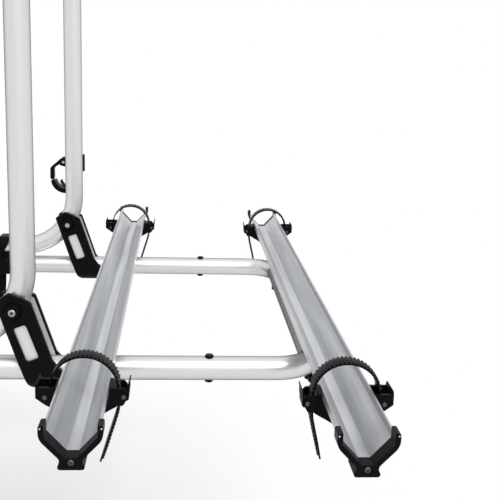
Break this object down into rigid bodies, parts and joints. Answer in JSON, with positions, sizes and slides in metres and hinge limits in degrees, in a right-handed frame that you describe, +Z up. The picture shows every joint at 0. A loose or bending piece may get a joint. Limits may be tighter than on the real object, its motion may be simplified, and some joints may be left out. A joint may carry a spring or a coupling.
{
  "type": "rear bicycle carrier",
  "caption": "Wall-mounted bicycle carrier: tubular aluminium frame, fold-up platform, V-shaped wheel rails, ladder straps with ratchet buckles and hinged holding arms.",
  "frame": {"origin": "centre of the four lower wall bolts, in the plane of the vehicle's wall", "axes": "+X along the wheel rails, +Y into the vehicle's wall, +Z up"},
  "size_m": [1.3444, 0.739, 1.0308],
  "materials": {
    "anodised_tube": "satin anodised",
    "anodised_rail": "satin anodised extrusion",
    "white_plastic": "moulded",
    "black_plastic": "moulded, fine texture",
    "strap_plastic": "flexible, moulded teeth",
    "cast_bracket": "die cast",
    "steel_fastener": "zinc plated"
  },
  "bodies": {
    "frame": {"crossbar_lower": "anodised_tube", "crossbar_upper": "anodised_tube", "crossbar_caps": "white_plastic", "wall_brackets": "cast_bracket", "crossbar_plugs": "white_plastic", "tube_grommets": "black_plastic", "bracket_screws": "steel_fastener", "frame_tube_left": "anodised_tube", "frame_tube_right": "anodised_tube", "pivot_bushes": "steel_fastener", "arm_clamp_left": "black_plastic", "arm_clamp_right": "black_plastic", "arm_fasteners": "steel_fastener"},
    "platform": {"platform_tube": "anodised_tube", "hinge_cover_left": "black_plastic", "hinge_cover_right": "black_plastic", "hinge_plates": "anodised_rail", "pivot_bosses": "black_plastic", "pivot_screws": "steel_fastener", "tube_plugs": "black_plastic", "rail_bolts": "steel_fastener", "clamp_sleeve_left": "black_plastic", "clamp_sleeve_right": "black_plastic", "clamp_strap_left": "strap_plastic", "clamp_strap_right": "strap_plastic", "clamp_buckle_left": "black_plastic", "clamp_buckle_right": "black_plastic", "clamp_fasteners": "steel_fastener"},
    "inner_rail": {"rail_inner": "anodised_rail", "rail_cradles_inner": "black_plastic", "strap_holders_inner": "black_plastic", "wheel_straps_inner": "strap_plastic", "wheel_buckles_inner": "black_plastic", "rail_fasteners_inner": "steel_fastener"},
    "wheel_lever_inner_left": {"wheel_lever_inner_left": "black_plastic"},
    "rail_knob_inner_left": {"rail_knob_inner_left": "black_plastic"},
    "wheel_lever_inner_right": {"wheel_lever_inner_right": "black_plastic"},
    "rail_knob_inner_right": {"rail_knob_inner_right": "black_plastic"},
    "outer_rail": {"rail_outer": "anodised_rail", "rail_cradles_outer": "black_plastic", "strap_holders_outer": "black_plastic", "wheel_straps_outer": "strap_plastic", "wheel_buckles_outer": "black_plastic", "rail_fasteners_outer": "steel_fastener"},
    "wheel_lever_outer_left": {"wheel_lever_outer_left": "black_plastic"},
    "rail_knob_outer_left": {"rail_knob_outer_left": "black_plastic"},
    "wheel_lever_outer_right": {"wheel_lever_outer_right": "black_plastic"},
    "rail_knob_outer_right": {"rail_knob_outer_right": "black_plastic"},
    "clamp_lever_left": {"clamp_lever_left": "black_plastic"},
    "clamp_lever_right": {"clamp_lever_right": "black_plastic"},
    "arm_left": {"arm_bar_left": "anodised_tube", "arm_jaw_left": "black_plastic", "jaw_pin_left": "steel_fastener"},
    "arm_knob_left": {"arm_knob_left": "black_plastic"},
    "jaw_finger_left": {"jaw_finger_left": "black_plastic"},
    "arm_right": {"arm_bar_right": "anodised_tube", "arm_jaw_right": "black_plastic", "jaw_pin_right": "steel_fastener"},
    "arm_knob_right": {"arm_knob_right": "black_plastic"},
    "jaw_finger_right": {"jaw_finger_right": "black_plastic"}
  },
  "joints": [
    {"name": "platform_fold", "type": "hinge", "parent": "frame", "child": "platform", "pos_m": [0, -0.251, 0.05], "axis": [-1, 0, 0], "range_deg": [0, 90], "deforming": ["clamp_strap_left", "clamp_strap_right"]},
    {"name": "inner_rail_slide", "type": "slide", "parent": "platform", "child": "inner_rail", "axis": [1, 0, 0], "range_m": [-0.06, 0.06]},
    {"name": "wheel_lever_inner_left_pull", "type": "hinge", "parent": "inner_rail", "child": "wheel_lever_inner_left", "pos_m": [-0.513, -0.4152, 0.0026], "axis": [1, 0, 0], "range_deg": [0, 50]},
    {"name": "rail_knob_inner_left_turn", "type": "hinge", "parent": "platform", "child": "rail_knob_inner_left", "pos_m": [-0.31, -0.368, -0.064], "axis": [0, 0, 1], "range_deg": [-180, 180]},
    {"name": "wheel_lever_inner_right_pull", "type": "hinge", "parent": "inner_rail", "child": "wheel_lever_inner_right", "pos_m": [0.513, -0.4152, 0.0026], "axis": [1, 0, 0], "range_deg": [0, 50]},
    {"name": "rail_knob_inner_right_turn", "type": "hinge", "parent": "platform", "child": "rail_knob_inner_right", "pos_m": [0.31, -0.368, -0.064], "axis": [0, 0, 1], "range_deg": [-180, 180]},
    {"name": "outer_rail_slide", "type": "slide", "parent": "platform", "child": "outer_rail", "axis": [1, 0, 0], "range_m": [-0.06, 0.06]},
    {"name": "wheel_lever_outer_left_pull", "type": "hinge", "parent": "outer_rail", "child": "wheel_lever_outer_left", "pos_m": [-0.533, -0.6348, 0.0026], "axis": [-1, 0, 0], "range_deg": [0, 50]},
    {"name": "rail_knob_outer_left_turn", "type": "hinge", "parent": "platform", "child": "rail_knob_outer_left", "pos_m": [-0.258, -0.682, -0.064], "axis": [0, 0, 1], "range_deg": [-180, 180]},
    {"name": "wheel_lever_outer_right_pull", "type": "hinge", "parent": "outer_rail", "child": "wheel_lever_outer_right", "pos_m": [0.493, -0.6348, 0.0026], "axis": [-1, 0, 0], "range_deg": [0, 50]},
    {"name": "rail_knob_outer_right_turn", "type": "hinge", "parent": "platform", "child": "rail_knob_outer_right", "pos_m": [0.258, -0.682, -0.064], "axis": [0, 0, 1], "range_deg": [-180, 180]},
    {"name": "clamp_lever_left_pull", "type": "hinge", "parent": "platform", "child": "clamp_lever_left", "pos_m": [-0.3418, -0.103, -0.032], "axis": [0, -1, 0], "range_deg": [0, 50]},
    {"name": "clamp_lever_right_pull", "type": "hinge", "parent": "platform", "child": "clamp_lever_right", "pos_m": [0.3418, -0.103, -0.032], "axis": [0, 1, 0], "range_deg": [0, 50]},
    {"name": "arm_left_swing", "type": "hinge", "parent": "frame", "child": "arm_left", "pos_m": [-0.351, -0.262, 0.64], "axis": [-1, 0, 0], "range_deg": [0, 110]},
    {"name": "arm_knob_left_turn", "type": "hinge", "parent": "frame", "child": "arm_knob_left", "pos_m": [-0.351, -0.262, 0.64], "axis": [1, 0, 0], "range_deg": [-180, 180]},
    {"name": "jaw_finger_left_open", "type": "hinge", "parent": "arm_left", "child": "jaw_finger_left", "pos_m": [-0.351, -0.237, 0.569], "axis": [1, 0, 0], "range_deg": [0, 70]},
    {"name": "arm_right_swing", "type": "hinge", "parent": "frame", "child": "arm_right", "pos_m": [0.351, -0.262, 0.557], "axis": [-1, 0, 0], "range_deg": [0, 110]},
    {"name": "arm_knob_right_turn", "type": "hinge", "parent": "frame", "child": "arm_knob_right", "pos_m": [0.351, -0.262, 0.557], "axis": [1, 0, 0], "range_deg": [-180, 180]},
    {"name": "jaw_finger_right_open", "type": "hinge", "parent": "arm_right", "child": "jaw_finger_right", "pos_m": [0.351, -0.237, 0.172], "axis": [1, 0, 0], "range_deg": [0, 70]}
  ]
}
